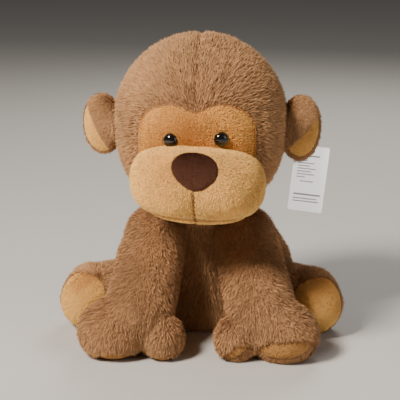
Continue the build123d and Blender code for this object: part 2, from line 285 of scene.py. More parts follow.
def grow(piece, name, cloth, count, length, width, lean=1.05, ruffle=0.30, floor=0.0004, seed=1):
    """Grow the given number of tufts on a brushed skin, as one plain mesh."""
    skin = piece.data
    area = sum(face.area for face in skin.polygons)
    wanted = {
        "Tuft": tuft,
        "Cloth": cloth,
        "Tufts per square metre": count / area,
        "Length": length,
        "Width": width,
        "Lean": lean,
        "Ruffle": ruffle,
        "Floor": floor,
        "Seed": seed,
    }
    carrier = bpy.data.objects.new(name + "_carrier", skin.copy())
    bpy.context.collection.objects.link(carrier)
    modifier = carrier.modifiers.new("pile", "NODES")
    modifier.node_group = grow_pile
    for item in grow_pile.interface.items_tree:
        if item.in_out == "INPUT" and item.name in wanted:
            modifier[item.identifier] = wanted[item.name]
    graph = bpy.context.evaluated_depsgraph_get()
    pile = bpy.data.meshes.new_from_object(carrier.evaluated_get(graph))
    bpy.data.objects.remove(carrier)
    for spare in [a.name for a in pile.attributes if a.name in ("shade", "side", "along", "comb", "pile")]:
        pile.attributes.remove(pile.attributes[spare])
    pile.name = name
    pile.materials.clear()
    pile.materials.append(cloth)
    pile.polygons.foreach_set("material_index", [0] * len(pile.polygons))
    grown = bpy.data.objects.new(name, pile)
    bpy.context.collection.objects.link(grown)
    return grown


def pile_shade_group():
    """The colour of a pile: deep at the root, full in the middle, pale at the tip. The deep root is
    painted shade down among the tufts.
    """
    tree = bpy.data.node_groups.new("pile shade", "ShaderNodeTree")
    for label in ("Root", "Body", "Tip"):
        tree.interface.new_socket(label, in_out="INPUT", socket_type="NodeSocketColor")
    streak = tree.interface.new_socket("Streak", in_out="INPUT", socket_type="NodeSocketFloat")
    streak.default_value = 0.5
    tree.interface.new_socket("Color", in_out="OUTPUT", socket_type="NodeSocketColor")
    given = tree.nodes.new("NodeGroupInput").outputs
    where = plug(tree, "ShaderNodeUVMap", {"uv_map": "OFBake"})
    where = plug(tree, "ShaderNodeSeparateXYZ", Vector=out(where))
    low = plug(
        tree, "ShaderNodeMapRange", Value=where.outputs["Y"],
        From_Min=0.05, From_Max=0.55, To_Min=0.0, To_Max=1.0,
    )
    high = plug(
        tree, "ShaderNodeMapRange", Value=where.outputs["Y"],
        From_Min=0.5, From_Max=1.0, To_Min=0.0, To_Max=1.0,
    )
    first = plug(
        tree, "ShaderNodeMix", {"data_type": "RGBA"},
        Factor=out(low), A=given["Root"], B=given["Body"],
    )
    second = plug(
        tree, "ShaderNodeMix", {"data_type": "RGBA"},
        Factor=out(high), A=out(first), B=given["Tip"],
    )
    spare = plug(tree, "ShaderNodeMath", {"operation": "SUBTRACT"}, _0=where.outputs["X"], _1=0.5)
    gain = plug(
        tree, "ShaderNodeMath", {"operation": "MULTIPLY_ADD"}, _0=out(spare), _1=given["Streak"], _2=1.0
    )
    tinted = plug(
        tree, "ShaderNodeVectorMath", {"operation": "SCALE"}, Vector=out(second), Scale=out(gain)
    )
    result = tree.nodes.new("NodeGroupOutput")
    tree.links.new(out(tinted), result.inputs["Color"])
    return tree


pile_shade = pile_shade_group()


def pile_cloth(name, root, body, tip, streak=0.7, sheen=0.25):
    """The material of a pile, from its three colours, darkened toward the root as painted shade."""
    cloth = bpy.data.materials.new(name)
    cloth.use_nodes = True
    tree = cloth.node_tree
    shader = tree.nodes["Principled BSDF"]
    shade = plug(
        tree, "ShaderNodeGroup", {"node_tree": pile_shade},
        Root=(*root, 1), Body=(*body, 1), Tip=(*tip, 1), Streak=streak,
    )
    tree.links.new(out(shade), shader.inputs["Base Color"])
    shader.inputs["Roughness"].default_value = 0.85
    shader.inputs["Specular IOR Level"].default_value = 0.25
    shader.inputs["Sheen Weight"].default_value = sheen
    shader.inputs["Sheen Roughness"].default_value = 0.5
    shader.inputs["Sheen Tint"].default_value = (*tip, 1)
    return cloth


def mottle_group():
    """Fine grain over a surface: a colour between a deep and a light one, and its mask."""
    tree = bpy.data.node_groups.new("mottle", "ShaderNodeTree")
    for label in ("Deep", "Light"):
        tree.interface.new_socket(label, in_out="INPUT", socket_type="NodeSocketColor")
    for label in ("Grain", "Detail"):
        tree.interface.new_socket(label, in_out="INPUT", socket_type="NodeSocketFloat")
    tree.interface.new_socket("Color", in_out="OUTPUT", socket_type="NodeSocketColor")
    tree.interface.new_socket("Mask", in_out="OUTPUT", socket_type="NodeSocketFloat")
    given = tree.nodes.new("NodeGroupInput").outputs
    spot = plug(tree, "ShaderNodeTexCoord")
    fine = plug(
        tree, "ShaderNodeTexNoise",
        Vector=spot.outputs["Object"], Scale=given["Grain"], Detail=given["Detail"],
    )
    mixed = plug(
        tree, "ShaderNodeMix", {"data_type": "RGBA"},
        Factor=fine.outputs[0], A=given["Deep"], B=given["Light"],
    )
    result = tree.nodes.new("NodeGroupOutput")
    tree.links.new(out(mixed), result.inputs["Color"])
    tree.links.new(fine.outputs[0], result.inputs["Mask"])
    return tree


mottle = mottle_group()


def backing_cloth(name, deep, light, grain=420.0, height=0.0006):
    """The knitted backing that shows between the tufts: mottled and slightly rough."""
    cloth = bpy.data.materials.new(name)
    cloth.use_nodes = True
    tree = cloth.node_tree
    shader = tree.nodes["Principled BSDF"]
    fine = plug(
        tree, "ShaderNodeGroup", {"node_tree": mottle},
        Deep=(*deep, 1), Light=(*light, 1), Grain=grain, Detail=3.0,
    )
    raised = plug(tree, "ShaderNodeBump", Height=fine.outputs["Mask"], Distance=height, Strength=0.8)
    tree.links.new(out(fine), shader.inputs["Base Color"])
    tree.links.new(out(raised), shader.inputs["Normal"])
    shader.inputs["Roughness"].default_value = 0.9
    shader.inputs["Specular IOR Level"].default_value = 0.15
    return cloth


# each pile's root colour is darker than its body: painted shade deep among the tufts
brown_root = (0.35, 0.170, 0.078)
brown_body = (0.46, 0.236, 0.106)
brown_tip = (0.59, 0.335, 0.160)
brown_pile = pile_cloth("brown_pile", brown_root, brown_body, brown_tip)
brown_backing = backing_cloth("brown_backing", (0.30, 0.150, 0.070), (0.40, 0.203, 0.096))
long_pile = 0.0086
tuft_width = 0.0010
head_tufts = 98000


def finish_plush(base, pile, body, slot, *nodes, fill=0.85):
    """Attach a stuffed skin and its pile to one body: they ride together and stand for their nodes, which
    are hidden.
    """
    if nodes:
        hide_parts(*nodes)
    for piece in (base, pile):
        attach(piece, body)


head_low, head_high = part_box("head_skin")
head_radius = (head_high.x - head_low.x) / 2
head_centre = Vector((0, head_low.y + head_radius, head_high.z - head_radius))
jaw_drop = 0.094
jaw_fullness = 2.3
face_drop = 0.010
face_middle = Vector((0, head_centre.y - head_radius, head_centre.z - face_drop))


def head_point(way):
    """The head's skin in a direction from its middle: round above, fuller below."""
    if way.z >= 0:
        return way * head_radius
    flat = math.hypot(way.x, way.y)
    p = jaw_fullness
    scale = ((flat / head_radius) ** p + (-way.z / jaw_drop) ** p) ** (-1 / p)
    return way * scale


shell = bmesh.new()
bmesh.ops.create_icosphere(shell, subdivisions=6, radius=1.0)
for vertex in shell.verts:
    vertex.co = head_centre + head_point(vertex.co.normalized())
head = set_down("head", shell)
crown_groove = 0.0013
crown_width = 0.0032
parting_strength = 0.14
parting_width = 0.008
seam_half_width = 0.0016
chin_level = head_low.z + 0.001


def shape_head(point):
    """Sink the crown seam into the head and flatten the underside over the neck."""
    rise = (point - head_centre).normalized()
    if rise.z > 0.1:
        depth = crown_groove * math.exp(-((point.x / crown_width) ** 2)) * min(1, (rise.z - 0.1) * 2)
        point = point - rise * depth
    point.z = max(point.z, chin_level)
    return point


reshape(head, shape_head)


def head_comb(point):
    """Away from the face, then down the back of the head."""
    away = (point - face_middle).normalized()
    back = max(0.0, (point.y - head_centre.y) / head_radius)
    parting = math.copysign(parting_strength * math.exp(-((point.x / parting_width) ** 2)), point.x)
    return away * (1 - 0.8 * back) + Vector((parting, 0, -0.25 - back))


patch_low, patch_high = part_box("face_patch")
patch_half = patch_high.x - 0.0015


def patch_reach(angle):
    """How far the face patch's edge lies from its middle, in a direction across the face."""
    across, up = abs(math.cos(angle)), math.sin(angle)
    side_reach = patch_half / max(across, 1e-6)
    if up <= 0:
        return min(side_reach, (patch_middle_z - patch_low.z) / max(-up, 1e-6))
    top = patch_high.z + patch_lobe_rise - patch_middle_z
    dip = patch_dip * math.exp(-((across / max(up, 1e-6) * top / patch_dip_width) ** 2))
    p = patch_roundness
    round_reach = ((across / patch_half) ** p + (up / top) ** p) ** (-1 / p)
    return round_reach - dip * up


patch_dip = 0.0085
patch_dip_width = 0.017
patch_roundness = 2.9
patch_lobe_rise = 0.002
patch_middle_z = head_centre.z - face_drop


def in_patch(point, spare):
    """Whether a point of the head lies under the face patch, or within spare of its edge."""
    if point.y > head_centre.y - 0.02:
        return False
    x, z = point.x, point.z - patch_middle_z
    return math.hypot(x, z) < patch_reach(math.atan2(z, x)) - spare


def head_pile(point, normal):
    """Full length all round, shorter at the face's edge, none under the face or the muzzle."""
    if in_patch(point, -0.0008):
        return 0.0
    jaw = muzzle_share(point)
    if jaw < 0.92:
        return 0.0
    near = in_patch(point, -0.006) or jaw < 1.06
    seam = abs(point.x) < seam_half_width and point.z > patch_middle_z
    return 0.5 if near else 0.6 if seam else 1.0


muzzle_low, muzzle_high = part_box("muzzle_skin")
muzzle_spare = 0.003
muzzle_half_depth = 0.056
muzzle_half = Vector((
    (muzzle_high.x - muzzle_low.x) / 2 + muzzle_spare,
    muzzle_half_depth,
    (muzzle_high.z - muzzle_low.z) / 2,
))
muzzle_aside = 0.0012
muzzle_middle = Vector((muzzle_aside, muzzle_low.y + muzzle_half.y, (muzzle_high.z + muzzle_low.z) / 2))
muzzle_box = 2.45


def muzzle_share(point):
    """Where a point lies against the muzzle's skin: below 1 inside, above 1 outside."""
    off = point - muzzle_middle
    p = muzzle_box
    total = sum(abs(off[i] / muzzle_half[i]) ** p for i in range(3))
    return total ** (1 / p)


brush(head, head_comb, head_pile)
head.data.materials.append(brown_backing)
head_fur = grow(head, "head_pile", brown_pile, head_tufts, long_pile, tuft_width, seed=3)
finish_plush(head, head_fur, "head", "brown_plush", "head_skin", "head_filling")

# ---------------------------------------------------------------- face patch
# A piece of short tan plush sewn on the front of the head: two lobes over the eyes with a
# dip between them. Its lower edge runs in behind the muzzle.


def pad(name, reach, place, rise, sunk=0.0012, rings=16, steps=80):
    """A closed pad laid over another piece: reach(angle) is its outline, rise(share) its height."""
    shell = bmesh.new()
    over, normal = place(0.0, 0.0)
    top = [[shell.verts.new(over + normal * rise(0.0))] * steps]
    under = [[shell.verts.new(over - normal * sunk)] * steps]
    for r in range(1, rings + 1):
        share = r / rings
        ring, hidden = [], []
        for i in range(steps):
            angle = 2 * math.pi * i / steps
            out_to = reach(angle) * share
            over, normal = place(out_to * math.cos(angle), out_to * math.sin(angle))
            ring.append(shell.verts.new(over + normal * rise(share)))
            hidden.append(ring[-1] if r == rings else shell.verts.new(over - normal * sunk))
        top.append(ring)
        under.append(hidden)
    for stack, facing in ((top, 1), (under, -1)):
        for r in range(rings):
            for i in range(steps):
                after = (i + 1) % steps
                corners = [stack[r][i], stack[r + 1][i], stack[r + 1][after], stack[r][after]]
                if r == 0:
                    corners = corners[:3]
                shell.faces.new(corners[::facing])
    bmesh.ops.recalc_face_normals(shell, faces=shell.faces)
    return set_down(name, shell)


def on_face(u, v):
    """A point on the front of the head, across and up from the middle of the face."""
    z = patch_middle_z + v - head_centre.z
    if z >= 0:
        flat = math.sqrt(max(head_radius**2 - z * z, 1e-9))
    else:
        flat = head_radius * max(1 - (-z / jaw_drop) ** jaw_fullness, 1e-9) ** (1 / jaw_fullness)
    deep = math.sqrt(max(flat * flat - u * u, 1e-9))
    point = Vector((u, head_centre.y - deep, head_centre.z + z))
    return point, (point - head_centre).normalized()


def soft_edge(height, tucked=0.0003, firmness=5.0):
    """A height that is full over the middle and rolls down under the outline."""
    return lambda share: height * (1 - share**firmness) - tucked * share**firmness


face_height = 0.0012
face = pad("face_patch_cloth", patch_reach, on_face, soft_edge(face_height))
face_root = (0.62, 0.26, 0.060)
face_body = (0.93, 0.46, 0.115)
face_tip = (0.99, 0.60, 0.19)
face_pile = pile_cloth("face_pile", face_root, face_body, face_tip, streak=0.45)
face_backing = backing_cloth("face_backing", (0.50, 0.23, 0.075), (0.66, 0.34, 0.12))


def face_comb(point):
    """Up and outward from the bridge of the nose."""
    return Vector((point.x * 1.5, 0, 0.03 + (point.z - patch_middle_z) * 0.5))


def bare_eyes(point, normal):
    """Short pile everywhere but under the eyes."""
    near = min((point - spot).length for spot in eye_spots)
    return 0.0 if near < eye_radius else 1.0


eye_spots = []
for name in ("left", "right"):
    low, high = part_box("eye_" + name)
    eye_radius = (high.z - low.z) / 2
    eye_level = (low.z + high.z) / 2 - (0.0008 if name == "left" else 0.0026)
    eye_spots.append(on_face((low.x + high.x) / 2, eye_level - patch_middle_z)[0])
brush(face, face_comb, bare_eyes)
face.data.materials.append(face_backing)
face_tufts = 40000
face_length = 0.0025
face_tuft = 0.0008
face_fur = grow(
    face, "face_patch_pile", face_pile, face_tufts, face_length, face_tuft, lean=0.9, seed=12
)
finish_plush(face, face_fur, "head", "face_plush", "face_patch")

# ---------------------------------------------------------------- muzzle
# The muzzle is a wide stuffed pillow of cream plush. A seam runs round it just above the
# chin, and the mouth is a pulled seam from the nose down to the chin.
mouth_top = muzzle_middle.z + 0.004
chin_seam = muzzle_low.z + 0.0105
muzzle_skew = 0.05


def muzzle_skin_point(point):
    """Pull the mouth and the chin seam into the muzzle, and skew it as it was sewn."""
    off = point - muzzle_middle
    way = off.normalized()
    depth = 0.0
    if off.y < 0:
        below = min(1.0, max(0.0, (mouth_top - point.z) / 0.012))
        below *= min(1.0, max(0.0, (point.z - chin_seam + 0.003) / 0.010))
        crease = 0.0018 * math.exp(-((off.x / 0.0022) ** 2))
        dimple = 0.0016 * math.exp(-((off.x / 0.010) ** 2))
        depth += below * (crease + dimple)
    depth += 0.0030 * math.exp(-(((point.z - chin_seam) / 0.0014) ** 2))
    point = point - way * depth
    point.z -= muzzle_skew * off.x
    return point


shell = bmesh.new()
bmesh.ops.create_icosphere(shell, subdivisions=7, radius=1.0)
for vertex in shell.verts:
    way = vertex.co.normalized()
    spread = sum(abs(way[i] / muzzle_half[i]) ** muzzle_box for i in range(3))
    vertex.co = muzzle_skin_point(muzzle_middle + way * spread ** (-1 / muzzle_box))
muzzle = set_down("muzzle", shell)


def surface_of(piece):
    """A piece's surface, for finding the points on it along a line."""
    return BVHTree.FromPolygons(
        [vertex.co.copy() for vertex in piece.data.vertices],
        [tuple(face.vertices) for face in piece.data.polygons],
    )


muzzle_tree = surface_of(muzzle)
nose_low, nose_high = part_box("nose_patch")
nose_half = (nose_high.x - nose_low.x) / 2 + 0.0006
nose_slope = math.radians(40)
nose_out = Vector((0, -math.cos(nose_slope), math.sin(nose_slope)))
nose_up = Vector((0, math.sin(nose_slope), math.cos(nose_slope)))
nose_level = (nose_low.z + nose_high.z) / 2 + 0.0035
nose_middle = muzzle_tree.ray_cast(Vector((muzzle_middle.x, -0.5, nose_level)), Vector((0, 1, 0)))[0]
nose_skew = 0.10
# the nose above and below its middle: how far its edge lies, and how full its corners are
nose_above = (0.0215, 2.15)
nose_below = (0.0195, 1.72)


def on_muzzle(u, v):
    """A point on the muzzle under the nose, across and up from the nose's middle."""
    start = nose_middle + Vector((u, 0, 0)) + nose_up * (v - nose_skew * u) + nose_out * 0.05
    point, normal = muzzle_tree.ray_cast(start, -nose_out)[:2]
    return point, normal


def nose_reach(angle):
    """How far the nose's edge lies from its middle: domed above, drawn to a point below."""
    across, up = abs(math.cos(angle)), math.sin(angle)
    high, p = nose_above if up > 0 else nose_below
    return ((across / nose_half) ** p + (abs(up) / high) ** p) ** (-1 / p)


def under_nose(point, spare):
    """Whether a point of the muzzle lies under the nose, or within spare of its edge."""
    off = point - nose_middle
    if off.y > 0.045 or off.z < -0.03:
        return False
    u = off.x
    v = off.dot(nose_up) + nose_skew * u
    return math.hypot(u, v) < nose_reach(math.atan2(v, u)) - spare


def muzzle_comb(point):
    """Outward from the nose and down over the cheeks."""
    return (point - nose_middle).normalized() + Vector((0, 0, -0.5))


def muzzle_pile(point, normal):
    """Short pile, shorter in the seams, and none under the nose."""
    if under_nose(point, 0.0012):
        return 0.0
    if abs(point.z + muzzle_skew * point.x - chin_seam) < 0.0013:
        return 0.0
    return 0.55 if abs(point.x) < 0.0015 and point.z < mouth_top and point.y < muzzle_middle.y else 1.0


brush(muzzle, muzzle_comb, muzzle_pile)
muzzle_root = (0.76, 0.37, 0.095)
muzzle_body = (1.0, 0.555, 0.150)
muzzle_tip = (1.0, 0.67, 0.225)
muzzle_cloth = pile_cloth("muzzle_pile", muzzle_root, muzzle_body, muzzle_tip, streak=0.6)
cream_backing = backing_cloth("cream_backing", (0.62, 0.35, 0.15), (0.78, 0.48, 0.23))
muzzle.data.materials.append(cream_backing)
muzzle_tufts = 84000
muzzle_length = 0.0028
muzzle_tuft = 0.0009
muzzle_fur = grow(
    muzzle, "muzzle_pile", muzzle_cloth, muzzle_tufts, muzzle_length, muzzle_tuft, lean=0.9, seed=14
)
finish_plush(muzzle, muzzle_fur, "head", "muzzle_plush", "muzzle_skin", "muzzle_filling")

# ---------------------------------------------------------------- nose
# A padded shield of red-brown velvet sewn on the top of the muzzle, creased down the middle.
# Its pile is under a millimetre long and shines where it is brushed.


nose_height = 0.0036
nose_tuck = 0.0004
nose_crease = 0.0013


def nose_rise(share):
    """The nose's padding: flat-topped, with a firm rolled edge."""
    return nose_height * (1 - share**6) ** 0.8 - nose_tuck * share**6


nose = pad("nose", nose_reach, on_muzzle, nose_rise, rings=22, steps=120)
for vertex in nose.data.vertices:
    off = vertex.co - nose_middle
    fold = nose_crease * math.exp(-((off.x / 0.0018) ** 2)) * min(1, max(0, 0.7 - off.dot(nose_up) / 0.02))
    vertex.co -= nose_out * fold
brush(nose, lambda point: Vector((0.2, 0, -1)), lambda point, normal: 1.0)
velvet_root = (0.050, 0.016, 0.009)
velvet_body = (0.115, 0.040, 0.022)
velvet_tip = (0.24, 0.105, 0.062)
velvet_pile = pile_cloth("nose_pile", velvet_root, velvet_body, velvet_tip, streak=0.5, sheen=0.6)
nose_backing = backing_cloth(
    "nose_velvet", (0.060, 0.020, 0.011), (0.105, 0.038, 0.022), grain=900.0, height=0.0002
)
nose.data.materials.append(nose_backing)
velvet_tufts = 15000
velvet_length = 0.0011
velvet_tuft = 0.0006
nose_fur = grow(
    nose, "nose_pile", velvet_pile, velvet_tufts, velvet_length, velvet_tuft, lean=0.7, seed=15
)
finish_plush(nose, nose_fur, "head", "nose_velvet", "nose_patch")

# ---------------------------------------------------------------- mouth
# The mouth is a pulled seam: a dark thread down its groove, crossed by short hand stitches
# that pucker the plush on both sides.


def around(across, upward, k, corners):
    """The direction of corner k of a ring."""
    turn = 2 * math.pi * k / corners
    return across * math.cos(turn) + upward * math.sin(turn)


def bridge(shell, first, second):
    """Close the band between two rings of points."""
    for k in range(len(first)):
        after = (k + 1) % len(first)
        shell.faces.new((first[k], first[after], second[after], second[k]))


def add_thread(shell, points, radius, corners=8):
    """A round thread through a row of points, closed at both ends."""
    rings = []
    for i, point in enumerate(points):
        run = (points[min(i + 1, len(points) - 1)] - points[max(i - 1, 0)]).normalized()
        across = run.orthogonal() if abs(run.x) > 0.9 else run.cross(Vector((1, 0, 0)))
        across.normalize()
        other = run.cross(across)
        thin = radius * (0.55 if i in (0, len(points) - 1) else 1.0)
        rings.append([
            shell.verts.new(point + around(across, other, k, corners) * thin) for k in range(corners)
        ])
    for first, second in zip(rings, rings[1:]):
        bridge(shell, first, second)
    shell.faces.new(list(reversed(rings[0])))
    shell.faces.new(rings[-1])


def on_mouth(share, across=0.0):
    """A point on the mouth seam, from under the nose at 0 to the chin at 1."""
    turn = math.radians(-2 + 42 * share)
    way = Vector((0, math.cos(turn), math.sin(turn)))
    start = muzzle_middle + Vector((across, 0, 0)) - way * 0.12
    point, normal = muzzle_tree.ray_cast(start, way)[:2]
    return point, normal


shell = bmesh.new()
run = []
for i in range(40):
    point, normal = on_mouth(i / 39)
    run.append(point + normal * 0.0006)
thread_radius = 0.00045
add_thread(shell, run, thread_radius)
stitch_reach = 0.0018
stitch_radius = 0.00042
stitches = 7
for i in range(stitches):
    share = 0.10 + 0.80 * i / (stitches - 1)
    bar = []
    for k in range(5):
        point, normal = on_mouth(share + 0.012 * (k - 2), stitch_reach * (k - 2) / 2)
        bar.append(point + normal * (0.0018 if k in (1, 2, 3) else 0.0002))
    add_thread(shell, bar, stitch_radius, corners=6)
bmesh.ops.recalc_face_normals(shell, faces=shell.faces)
mouth = set_down("mouth_seam", shell)
thread_cloth = backing_cloth(
    "stitch_thread", (0.16, 0.070, 0.028), (0.30, 0.15, 0.07), grain=2400.0, height=0.0002
)
mouth.data.materials.append(thread_cloth)
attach(mouth, "head")
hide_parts("mouth_stitch")

# ---------------------------------------------------------------- eyes
# Each eye is a moulded plastic button: a glossy black dome on a stem that locks through the
# cloth, with a rounded rim that the short pile closes over.
# radius share and height share of the dome's profile, from the rim's underside to the top
eye_profile = [
    (0.30, -0.55), (0.80, -0.50), (0.95, -0.30), (1.00, -0.06), (0.985, 0.16), (0.93, 0.38),
    (0.83, 0.59), (0.68, 0.77), (0.50, 0.90), (0.26, 0.98), (0.0, 1.0),
]
eye_dome = 0.0055
eye_rise = 0.0011
eye_wide = eye_radius * 1.06
shiny = bpy.data.materials.new("eye_plastic")
shiny.use_nodes = True
tree = shiny.node_tree
shader = tree.nodes["Principled BSDF"]
haze = plug(tree, "ShaderNodeGroup", {"node_tree": mottle}, Grain=500.0, Detail=2.0)
worn = plug(
    tree, "ShaderNodeMapRange", Value=haze.outputs["Mask"],
    From_Min=0.3, From_Max=0.8, To_Min=0.06, To_Max=0.16,
)
tree.links.new(out(worn), shader.inputs["Roughness"])
shader.inputs["Base Color"].default_value = (0.008, 0.006, 0.005, 1)
shader.inputs["Coat Weight"].default_value = 0.6
shader.inputs["Coat Roughness"].default_value = 0.05
for name, middle in zip(("left", "right"), eye_spots):
    outward = (middle - head_centre).normalized()
    across = outward.cross(Vector((0, 0, 1))).normalized()
    upward = across.cross(outward)
    shell = bmesh.new()
    corners = 48
    previous = None
    for wide, high in eye_profile:
        centre = middle + outward * (eye_rise + eye_dome * high)
        if wide == 0:
            tip = shell.verts.new(centre)
            for k in range(corners):
                shell.faces.new((previous[k], previous[(k + 1) % corners], tip))
            continue
        ring = [
            shell.verts.new(centre + around(across, upward, k, corners) * (eye_wide * wide))
            for k in range(corners)
        ]
        if previous is None:
            shell.faces.new(list(reversed(ring)))
        else:
            bridge(shell, previous, ring)
        previous = ring
    bmesh.ops.recalc_face_normals(shell, faces=shell.faces)
    eye = set_down("eye_button_" + name, shell)
    eye.data.materials.append(shiny)
    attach(eye, "head")
    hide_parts("eye_" + name)

# ---------------------------------------------------------------- ears
# Each ear is a padded cup: brown plush behind, cream plush in front, sewn together at the
# rim. The brown top is folded down over the front, so that the cream shows as a crescent.
lining_pile = pile_cloth("lining_pile", muzzle_root, muzzle_body, muzzle_tip, streak=0.4)
ear_sweep = math.radians(18)
ear_length = 0.0052
ear_tuft = 0.0009
lining_length = 0.0024
lining_tuft = 0.0008
ear_half_width = 0.021
ear_half_depth = 0.0062
ear_out = 0.018
lining_height = 0.0014
ear_root_lump = (0.0080, 0.0060, 0.019)
# where the folded top is pinned, outward and up from the middle of the ear
fold_in, fold_up = -0.006, 0.007
# side, name, how far the cream is set in, extra depth below, the fold's edge: reach and slope
for side, name, inset, deeper, fold_reach, fold_slope in (
    (1, "left", 0.0022, 0.0035, 0.0036, math.radians(-42)),
    (-1, "right", 0.0002, 0.0010, 0.0040, math.radians(-27)),
):
    body = "ear_" + name
    root = pivot(body + "_fold")
    facing = Vector((side * math.sin(ear_sweep), -math.cos(ear_sweep), 0))
    outward = Vector((side * math.cos(ear_sweep), math.sin(ear_sweep), 0))
    back_low, back_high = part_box("ear_back_" + name)
    ear_half_height = (back_high.z - back_low.z) / 2 + deeper
    middle = root + outward * ear_out - Vector((0, 0, deeper))
    shell = bmesh.new()
    add_ball(shell, middle, (ear_half_width, ear_half_depth, ear_half_height + 0.001), side * ear_sweep)
    add_ball(shell, root, ear_root_lump, side * ear_sweep)
    cup = sewn_skin("ear_cup_" + name, shell, voxel=0.0016, easing=6)
    cup_tree = surface_of(cup)

    def on_cup(u, v):
        """A point on the front of the ear, outward and up from its middle."""
        start = middle + outward * u + Vector((0, 0, v)) + facing * 0.05
        hit = cup_tree.ray_cast(start, -facing)
        return (hit[0], facing) if hit[0] else (start - facing * 0.05, facing)

    def lining_reach(angle):
        """The lining's outline, set in from the rim of the ear."""
        return 1 / math.hypot(
            math.cos(angle) / (ear_half_width - inset), math.sin(angle) / (ear_half_height - inset)
        )

    lining = pad(
        f"ear_lining_{name}_cloth", lining_reach, on_cup, soft_edge(lining_height, firmness=3.0)
    )

    def fold_outline(angle):
        """The folded top's outline: the ear's own rim, cut off by a bowed edge low down."""
        near, far = 0.0, 0.06
        edge_way = (math.cos(fold_slope), math.sin(fold_slope))
        for _ in range(24):
            half = (near + far) / 2
            u = fold_in + half * math.cos(angle)
            v = fold_up + half * math.sin(angle)
            rim = math.hypot(u / (ear_half_width + 0.0004), v / (ear_half_height + 0.0012))
            past = max(0.0, (u * edge_way[0] + v * edge_way[1]) / fold_reach)
            bow = math.hypot(u, v) / (ear_half_height * 1.25)
            if rim**6 + (past * (0.72 + 0.55 * bow)) ** 6 < 1:
                near = half
            else:
                far = half
        return near

    fold = pad(
        "ear_fold_" + name,
        fold_outline,
        lambda u, v: on_cup(fold_in + u, fold_up + v),
        lambda share: 0.0062 * (1 - share**7) ** 0.5 + 0.0006,
        rings=16,
        steps=96,
    )

    def behind_lining(point, normal):
        """Pile all over the back and the rim, none where the lining is sewn on."""
        off = point - middle
        if normal.dot(facing) < 0.2:
            return 1.0
        u, v = off.dot(outward), off.z
        return 0.0 if math.hypot(u, v) < lining_reach(math.atan2(v, u)) - 0.0008 else 0.8

    brush(cup, lambda point: (point - root) + Vector((0, 0, -0.012)), behind_lining)
    def fold_pile(point, normal):
        """Full length on the fold's back, clipped short along its edge, none underneath."""
        off = point - middle
        past = off.dot(outward) * math.cos(fold_slope) + off.z * math.sin(fold_slope)
        if normal.dot(facing) < -0.3:
            return 0.0
        return 0.40 if past > fold_reach - 0.004 else 0.85

    brush(fold, lambda point: (point - root) + Vector((0, 0, -0.03)), fold_pile)
    brush(
        lining,
        lambda point: (point - root) + Vector((0, 0, -0.02)),
        lambda point, normal: 1.0 if normal.dot(facing) > 0 else 0.0,
    )
    cup.data.materials.append(brown_backing)
    fold.data.materials.append(brown_backing)
    lining.data.materials.append(cream_backing)
    cup_fur = grow(cup, f"ear_cup_{name}_pile", brown_pile, 14000, ear_length, ear_tuft, seed=21 + side)
    fold_fur = grow(fold, f"ear_fold_{name}_pile", brown_pile, 11000, ear_length, ear_tuft, seed=24 + side)
    lining_fur = grow(
        lining, f"ear_lining_{name}_pile", lining_pile, 11000, lining_length, lining_tuft, seed=27 + side
    )
    finish_plush(cup, cup_fur, body, "brown_plush", "ear_back_" + name)
    finish_plush(fold, fold_fur, body, "brown_plush")
    finish_plush(lining, lining_fur, body, "face_plush", "ear_lining_" + name)

# ---------------------------------------------------------------- neck
# The neck is a soft roll of brown plush between the torso and the head. It turns with the
# head and fills the fold under the jaw.
neck_pivot = pivot("head_turn")
neck_half = Vector((0.044, 0.027, 0.020))
shell = bmesh.new()
add_ball(shell, neck_pivot + Vector((0, 0, 0.012)), neck_half)
neck = sewn_skin("neck", shell)
brush(neck, lambda point: Vector((0, 0, -1)), lambda point, normal: 1.0)
neck.data.materials.append(brown_backing)
neck_tufts = 20000
neck_fur = grow(neck, "neck_pile", brown_pile, neck_tufts, long_pile, tuft_width, seed=4)
finish_plush(neck, neck_fur, "neck", "brown_plush", "neck_skin", "neck_filling")

# ---------------------------------------------------------------- torso
# The torso is a pear of brown plush, stuffed firm and flat where it sits. The arms, legs,
# neck and tail are sewn to it. The pile is brushed downward.
torso_low, torso_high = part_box("torso_skin")
torso_depth = (torso_high.y - torso_low.y) / 2
# height share, width share and depth share of each ring, from the seat up
torso_rings = [
    (0.00, 0.80, 0.80),
    (0.16, 0.95, 0.95),
    (0.35, 1.00, 1.00),
    (0.56, 0.95, 0.92),
    (0.76, 0.80, 0.74),
    (0.92, 0.60, 0.54),
    (1.00, 0.44, 0.40),
]
shell = bmesh.new()
rings = []
corners = 72
for height, width, depth in torso_rings:
    ring = []
    half_depth = depth * torso_depth
    for i in range(corners):
        turn = 2 * math.pi * i / corners
        ring.append(shell.verts.new((
            width * torso_high.x * math.cos(turn),
            torso_low.y + half_depth + half_depth * math.sin(turn),
            torso_low.z + height * (torso_high.z - torso_low.z),
        )))
    rings.append(ring)
for lower, upper in zip(rings, rings[1:]):
    bridge(shell, lower, upper)
shell.faces.new(list(reversed(rings[0])))
shell.faces.new(rings[-1])
torso = sewn_skin("torso", shell, voxel=0.004, easing=22)
seat_level = 0.0006


def rest_on_floor(point):
    """Press a skin flat where it meets the surface the toy sits on."""
    point.z = max(point.z, seat_level)
    return point


reshape(torso, rest_on_floor)


def standing_pile(point, normal):
    """Full length on the sides, pressed short where the skin rests on the surface."""
    return 0.35 if normal.z < -0.9 and point.z < 0.004 else 1.0


brush(torso, lambda point: Vector((0, 0, -1)), standing_pile)
torso.data.materials.append(brown_backing)
torso_tufts = 90000
torso_fur = grow(torso, "torso_pile", brown_pile, torso_tufts, long_pile, tuft_width, seed=5)
finish_plush(torso, torso_fur, "torso", "brown_plush", "torso_skin", "torso_filling")

